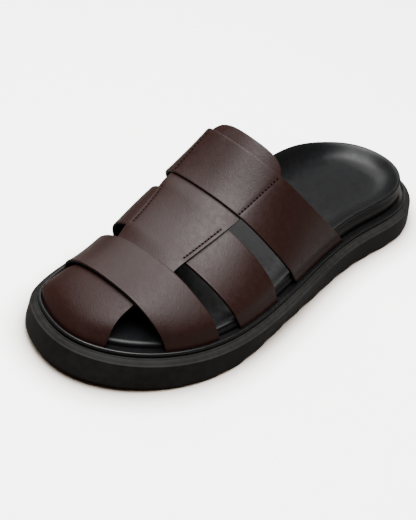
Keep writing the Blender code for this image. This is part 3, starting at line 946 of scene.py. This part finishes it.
def texture(tree, kind, scale_from, factor, vector, **settings):
    """A texture node whose scale is a socket's value times a factor."""
    node = tree.nodes.new(kind)
    for key, value in settings.items():
        if key in node.inputs:
            node.inputs[key].default_value = value
        else:
            setattr(node, key, value)
    times = tree.nodes.new("ShaderNodeMath")
    times.operation = "MULTIPLY"
    times.inputs[1].default_value = factor
    tree.links.new(scale_from, times.inputs[0])
    tree.links.new(times.outputs[0], node.inputs["Scale"])
    tree.links.new(vector, node.inputs["Vector"])
    return node


def mix_values(tree, first, second, share):
    """Output of a node that goes from the first value to the second as share goes to 1."""
    node = tree.nodes.new("ShaderNodeMix")
    node.data_type = "FLOAT"
    node.inputs["Factor"].default_value = share
    tree.links.new(first, node.inputs["A"])
    tree.links.new(second, node.inputs["B"])
    return node.outputs["Result"]


# %% Grain group
grain_group, grain_in, grain_out = new_group(
    "fine_grain",
    (("Vector", "NodeSocketVector", None), ("Scale", "NodeSocketFloat", 900.0)),
    (("Height", "NodeSocketFloat"), ("Mottle", "NodeSocketFloat"), ("Cloud", "NodeSocketFloat")),
)
scale, vector = grain_in.outputs["Scale"], grain_in.outputs["Vector"]
cells = texture(grain_group, "ShaderNodeTexVoronoi", scale, 1.0, vector, feature="F1")
pores = texture(grain_group, "ShaderNodeTexNoise", scale, 0.45, vector, Detail=4.0)
mottle = texture(grain_group, "ShaderNodeTexNoise", scale, 0.16, vector, Detail=5.0, Roughness=0.6)
cloud = texture(grain_group, "ShaderNodeTexNoise", scale, 0.02, vector, Detail=2.0)
height = mix_values(grain_group, cells.outputs["Distance"], pores.outputs["Fac"], 0.55)
grain_group.links.new(height, grain_out.inputs["Height"])
grain_group.links.new(mottle.outputs["Fac"], grain_out.inputs["Mottle"])
grain_group.links.new(cloud.outputs["Fac"], grain_out.inputs["Cloud"])
print("grain group puts out", [item.name for item in grain_out.inputs if item.name])

# %% [markdown]
# ## Materials
# Every material keeps its own Principled shader. The grain reads Object coordinates, so it
# stays on the piece and has its real size. Mottle and cloud together choose between two shades,
# because one flat colour would look like paint. The bead of the midsole is the smoothest and
# shines most, and the brown leather has the deepest relief.

# %% Helpers for shades and spans
def mix_colours(tree, first, second, share):
    """A node that goes from the first colour to the second as share goes from 0 to 1."""
    node = tree.nodes.new("ShaderNodeMix")
    node.data_type = "RGBA"
    node.inputs["A"].default_value = (*first, 1.0)
    node.inputs["B"].default_value = (*second, 1.0)
    tree.links.new(share, node.inputs["Factor"])
    return node


def stretch_range(tree, value, before, after):
    """The value, with the span before stretched to the span after."""
    node = tree.nodes.new("ShaderNodeMapRange")
    node.inputs["From Min"].default_value, node.inputs["From Max"].default_value = before
    node.inputs["To Min"].default_value, node.inputs["To Max"].default_value = after
    tree.links.new(value, node.inputs["Value"])
    return node.outputs["Result"]


# %% Material helper
ROUGHNESS_SPREAD = 0.06
MOTTLE_SPAN = (0.3, 0.7)


def skin_material(name, dark, light, roughness, grain_scale, bump, specular,
                  spread=(0.35, 0.65)):
    """A material whose two shades, gloss and relief follow the shared grain."""
    made = bpy.data.materials.new(name)
    made.use_nodes = True
    tree = made.node_tree
    shader = tree.nodes["Principled BSDF"]
    shader.inputs["Specular IOR Level"].default_value = specular
    where = tree.nodes.new("ShaderNodeTexCoord")
    grain = tree.nodes.new("ShaderNodeGroup")
    grain.node_tree = grain_group
    grain.inputs["Scale"].default_value = grain_scale
    tree.links.new(where.outputs["Object"], grain.inputs["Vector"])
    both = mix_values(tree, grain.outputs["Mottle"], grain.outputs["Cloud"], 0.5)
    share = stretch_range(tree, both, spread, (0.0, 1.0))
    shades = mix_colours(tree, dark, light, share)
    tree.links.new(shades.outputs["Result"], shader.inputs["Base Color"])
    rough_span = (roughness - ROUGHNESS_SPREAD, roughness + ROUGHNESS_SPREAD)
    gloss = stretch_range(tree, grain.outputs["Mottle"], MOTTLE_SPAN, rough_span)
    tree.links.new(gloss, shader.inputs["Roughness"])
    relief = tree.nodes.new("ShaderNodeBump")
    relief.inputs["Distance"].default_value = bump
    relief.inputs["Strength"].default_value = 1.0
    tree.links.new(grain.outputs["Height"], relief.inputs["Height"])
    tree.links.new(relief.outputs["Normal"], shader.inputs["Normal"])
    return made


# %% Materials of the sandal
BROWN_DARK = (0.0062, 0.0019, 0.0014)
BROWN_LIGHT = (0.0078, 0.0024, 0.0018)
brown_leather = skin_material(
    "smooth_brown_leather", BROWN_DARK, BROWN_LIGHT, 0.45, 1900.0, 0.13 * MM,
    spread=(0.3, 0.7), specular=0.12)
cap_leather = skin_material(
    "toe_cap_leather", BROWN_DARK, BROWN_LIGHT, 0.47, 1900.0, 0.12 * MM,
    spread=(0.3, 0.7), specular=0.085)
black_lining = skin_material(
    "black_lining", (0.0022, 0.0022, 0.0023), (0.0034, 0.0034, 0.0036), 0.66, 2200.0, 0.04 * MM,
    specular=0.06)
footbed_cover = skin_material(
    "footbed_cover", (0.0018, 0.0019, 0.0021), (0.0025, 0.0026, 0.0029), 0.40, 1700.0,
    0.02 * MM, specular=0.10)
sole_rubber = skin_material(
    "outsole_rubber", (0.0052, 0.0051, 0.0049), (0.0086, 0.0085, 0.0081), 0.55, 1500.0,
    0.06 * MM, spread=(0.4, 0.6), specular=0.02)
bead_rubber = skin_material(
    "midsole_rubber", (0.0014, 0.0014, 0.0016), (0.0020, 0.0020, 0.0022), 0.34, 1900.0,
    0.008 * MM, specular=0.16)
brown_thread = skin_material(
    "waxed_thread", (0.0070, 0.0015, 0.0014), (0.0100, 0.0023, 0.0021), 0.5, 5200.0, 0.05 * MM,
    specular=0.08)
# painted shade: this near-black colour on the balls at the needle holes stands for their shade
hole_shadow = skin_material(
    "painted_needle_hole_shade", (0.0004, 0.0002, 0.0002), (0.0007, 0.0004, 0.0004), 0.8, 3000.0, 0.01 * MM,
    specular=0.0)
print(len(bpy.data.materials), "materials")

# %% [markdown]
# ## Dressing the pieces
# Each piece gets its material, rides on the one body of the sandal, and hides the solid that it
# replaces. The toe cap is stretched most and shines least. It could be a piece of its own,
# but the real vamp has no seam there, so the faces in front of one station are given a second
# material instead.

# %% Dress
CAP_SLOT = 1


def dress(piece, node, material):
    """Give a piece its material and its body, and hide the solid it replaces."""
    piece.data.materials.append(material)
    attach(piece, "root")
    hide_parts(node)


dress(outsole, "outsole", sole_rubber)
dress(midsole, "midsole", bead_rubber)
dress(footbed, "footbed", footbed_cover)
for leather, lining in [(vamp, vamp_lining)] + straps:
    dress(leather, "upper", brown_leather)
    dress(lining, "upper", black_lining)
vamp.data.materials.append(cap_leather)
cap_faces = [face for face in vamp.data.polygons if face.center.y < NOSE_START]
for face in cap_faces:
    face.material_index = CAP_SLOT
for piece in thread_pieces:
    dress(piece, "upper", brown_thread)
# the balls at the needle holes get the painted shade
for piece in hole_shade_pieces:
    dress(piece, "upper", hole_shadow)
print("the toe cap has", len(cap_faces), "faces")

# %% [markdown]
# ## Studio
# The sandal stands on a plain pale floor under one large soft light that hangs almost straight
# above it, so that the leather's shoulders shine. A weak one stands on the inner side. The room
# is dim and warm, and the floor throws little light back up, so the outer sides stay dark. Close
# to the sole, where little light gets in, a warm brown shade is painted into the floor's colour.
# A picture of a studio could light it all, but two area lights are easier to move.

# %% Floor
FLOOR_SIZE = 6.0
OPEN_FLOOR = (0.93, 0.93, 0.925)
# painted shade: the warm brown that the floor's colour turns to where the sole hides it
SHADED_FLOOR = (0.115, 0.066, 0.026)
# what the floor throws back up on the sandal
REFLECTED_FLOOR = (0.17, 0.158, 0.146)
SHADE_REACH = 19 * MM
SHADE_POWER = 2.0

clear_selection()
bpy.ops.mesh.primitive_plane_add(size=FLOOR_SIZE, location=(0, 0, 0))
floor = bpy.context.object
floor.name = "floor"
floor_paint = bpy.data.materials.new("pale_floor")
floor_paint.use_nodes = True
floor_tree = floor_paint.node_tree
floor_shader = floor_tree.nodes["Principled BSDF"]
# ambient occlusion paints the shade into the floor's colour close to the sole
open_air = floor_tree.nodes.new("ShaderNodeAmbientOcclusion")
open_air.samples = 8
open_air.inputs["Distance"].default_value = SHADE_REACH
deepened = floor_tree.nodes.new("ShaderNodeMath")
deepened.operation = "POWER"
deepened.inputs[1].default_value = SHADE_POWER
floor_tree.links.new(open_air.outputs["AO"], deepened.inputs[0])
shade = mix_colours(floor_tree, SHADED_FLOOR, OPEN_FLOOR, deepened.outputs["Value"])
seen = floor_tree.nodes.new("ShaderNodeLightPath")
paper = mix_colours(floor_tree, REFLECTED_FLOOR, OPEN_FLOOR, seen.outputs["Is Camera Ray"])
floor_tree.links.new(shade.outputs["Result"], paper.inputs["B"])
floor_tree.links.new(paper.outputs["Result"], floor_shader.inputs["Base Color"])
floor_shader.inputs["Roughness"].default_value = 0.9
floor_shader.inputs["Specular IOR Level"].default_value = 0.1
floor.data.materials.append(floor_paint)
print("the floor is", FLOOR_SIZE, "m wide")


# %% Lights
def soft_light(name, place, size, power):
    """A rectangular lamp that points at the sandal."""
    clear_selection()
    bpy.ops.object.light_add(type="AREA", location=place)
    lamp = bpy.context.object
    lamp.name = name
    lamp.data.shape = "RECTANGLE"
    lamp.data.size, lamp.data.size_y = size
    lamp.data.energy = power
    lamp.rotation_mode = "QUATERNION"
    lamp.rotation_quaternion = (-Vector(place)).to_track_quat("-Z", "Y")
    print(name, "has", power, "W")


soft_light("overhead_softbox", (0.06, -0.14, 1.40), (1.10, 1.20), 133.0)
soft_light("inner_side_light", (-0.80, 0.45, 1.10), (1.1, 1.1), 26.0)

room = bpy.data.worlds.new("pale_room")
bpy.context.scene.world = room
room.use_nodes = True
room_light = room.node_tree.nodes["Background"]
room_light.inputs["Color"].default_value = (1.0, 0.88, 0.76, 1.0)
room_light.inputs["Strength"].default_value = 0.15

# %% [markdown]
# ## Camera
# A long lens, about 0.6 m away, looks down on the sandal from the front of its outer side and
# is rolled a little, which sets the sandal on the diagonal of the picture. A wide lens close by
# would swell the toe. The camera's three axes are worked out and set as one matrix, because a
# roll is hard to give as angles.

# %% Camera
CAMERA_PLACE = Vector((0.27025, -0.39887, 0.38939))
CAMERA_AIM = Vector((-0.010, -0.0246, 0.0103))
CAMERA_ROLL = np.radians(11.0)
CAMERA_LENS = 69.0
SENSOR_WIDTH = 36.0

clear_selection()
bpy.ops.object.camera_add(location=CAMERA_PLACE)
camera = bpy.context.object
camera.name = "camera"
camera.data.lens = CAMERA_LENS
camera.data.sensor_width = SENSOR_WIDTH
back = (CAMERA_PLACE - CAMERA_AIM).normalized()
right = Vector((0, 0, 1)).cross(back).normalized()
up = back.cross(right)
turned_right = right * np.cos(CAMERA_ROLL) + up * np.sin(CAMERA_ROLL)
turned_up = up * np.cos(CAMERA_ROLL) - right * np.sin(CAMERA_ROLL)
turn = Matrix((turned_right, turned_up, back)).transposed()
camera.matrix_world = Matrix.Translation(CAMERA_PLACE) @ turn.to_4x4()
bpy.context.scene.camera = camera
print("camera is", round(1000 * (CAMERA_PLACE - CAMERA_AIM).length), "mm from the sandal")
